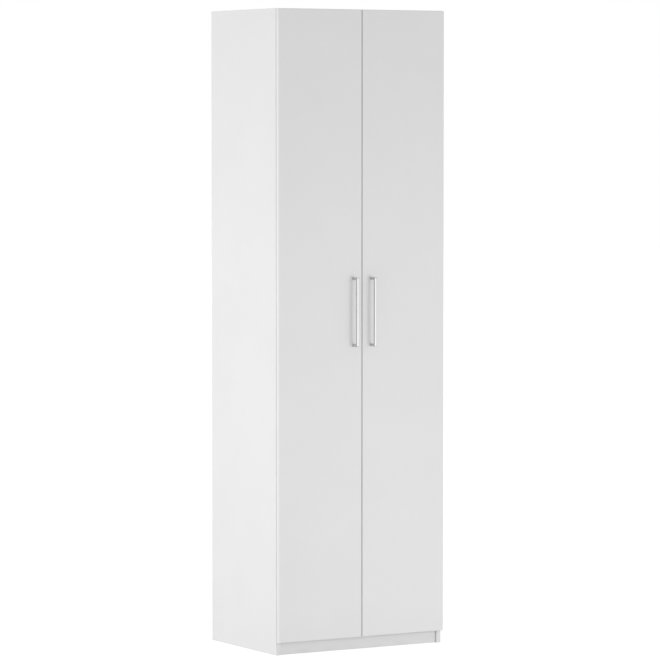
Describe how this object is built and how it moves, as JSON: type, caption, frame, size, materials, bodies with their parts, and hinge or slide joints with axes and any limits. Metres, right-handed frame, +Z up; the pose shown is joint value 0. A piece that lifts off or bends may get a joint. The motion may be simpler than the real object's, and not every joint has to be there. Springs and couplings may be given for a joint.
{
  "type": "broom cupboard",
  "caption": "Tall white cupboard with overlay doors on concealed hinges and bow handles, a broom bay, shelves and a hat shelf, on a low plinth.",
  "frame": {"origin": "on the floor, at the middle of the overall width and depth, handles included", "axes": "+Z up, +Y to the back, +X to the right as seen from the front"},
  "size_m": [0.6, 0.4592, 2],
  "materials": {
    "white_board": "white melamine-faced board",
    "back_board": "fibreboard, white inside, bare brown behind",
    "dowel_wood": "bare beech",
    "handle_metal": "satin anodised",
    "hinge_steel": "nickel plated",
    "cast_zinc": "die-cast, plated",
    "screw_steel": "zinc plated",
    "buffer_plastic": "soft clear pad"
  },
  "bodies": {
    "carcass": {"left_side_panel": "white_board", "right_side_panel": "white_board", "top_panel": "white_board", "bottom_panel": "white_board", "hat_shelf": "white_board", "divider": "white_board", "plinth": "white_board", "rear_rail": "white_board", "shelf_1": "white_board", "shelf_2": "white_board", "shelf_3": "white_board", "shelf_4": "white_board", "back_panel": "back_board", "dowels": "dowel_wood", "cam_locks": "cast_zinc", "cam_bolts": "screw_steel", "back_screws": "screw_steel", "bracket_screws": "screw_steel", "plate_screws": "screw_steel", "arm_screws": "screw_steel", "shelf_pins": "screw_steel", "wall_brackets": "hinge_steel", "arm_pins": "hinge_steel", "left_hinge_plates": "cast_zinc", "left_hinge_arm_1": "hinge_steel", "left_hinge_arm_2": "hinge_steel", "left_hinge_arm_3": "hinge_steel", "left_hinge_arm_4": "hinge_steel", "right_hinge_plates": "cast_zinc", "right_hinge_arm_1": "hinge_steel", "right_hinge_arm_2": "hinge_steel", "right_hinge_arm_3": "hinge_steel", "right_hinge_arm_4": "hinge_steel"},
    "left_door": {"left_door": "white_board", "left_handle": "handle_metal", "left_handle_screws": "screw_steel", "left_buffers": "buffer_plastic", "left_cup_pins": "hinge_steel", "left_cup_screws": "screw_steel", "left_hinge_cup_1": "hinge_steel", "left_hinge_cup_2": "hinge_steel", "left_hinge_cup_3": "hinge_steel", "left_hinge_cup_4": "hinge_steel"},
    "left_outer_links": {"left_outer_links": "hinge_steel"},
    "left_inner_links": {"left_inner_links": "hinge_steel"},
    "right_door": {"right_door": "white_board", "right_handle": "handle_metal", "right_handle_screws": "screw_steel", "right_buffers": "buffer_plastic", "right_cup_pins": "hinge_steel", "right_cup_screws": "screw_steel", "right_hinge_cup_1": "hinge_steel", "right_hinge_cup_2": "hinge_steel", "right_hinge_cup_3": "hinge_steel", "right_hinge_cup_4": "hinge_steel"},
    "right_outer_links": {"right_outer_links": "hinge_steel"},
    "right_inner_links": {"right_inner_links": "hinge_steel"}
  },
  "joints": [
    {"name": "left_link_turn", "type": "hinge", "parent": "carcass", "child": "left_outer_links", "pos_m": [-0.2666, -0.19245, 1.02], "axis": [0, 0, -1], "range_deg": [-42, 0]},
    {"name": "left_door_swing", "type": "hinge", "parent": "left_outer_links", "child": "left_door", "pos_m": [-0.2863, -0.188, 1.02], "axis": [0, 0, -1], "range_deg": [0, 142]},
    {"name": "left_guide_turn", "type": "hinge", "parent": "left_door", "child": "left_inner_links", "pos_m": [-0.29, -0.19125, 1.02], "axis": [0, 0, -1], "range_deg": [-121.3, 0]},
    {"name": "right_link_turn", "type": "hinge", "parent": "carcass", "child": "right_outer_links", "pos_m": [0.2666, -0.19245, 1.02], "axis": [0, 0, 1], "range_deg": [-42, 0]},
    {"name": "right_door_swing", "type": "hinge", "parent": "right_outer_links", "child": "right_door", "pos_m": [0.2863, -0.188, 1.02], "axis": [0, 0, 1], "range_deg": [0, 142]},
    {"name": "right_guide_turn", "type": "hinge", "parent": "right_door", "child": "right_inner_links", "pos_m": [0.29, -0.19125, 1.02], "axis": [0, 0, 1], "range_deg": [-121.3, 0]}
  ],
  "couplings": [
    {"joint": "left_link_turn", "follows": "left_door_swing", "ratio": -0.29578},
    {"joint": "left_guide_turn", "follows": "left_door_swing", "ratio": -0.85423},
    {"joint": "right_link_turn", "follows": "right_door_swing", "ratio": -0.29578},
    {"joint": "right_guide_turn", "follows": "right_door_swing", "ratio": -0.85423}
  ]
}
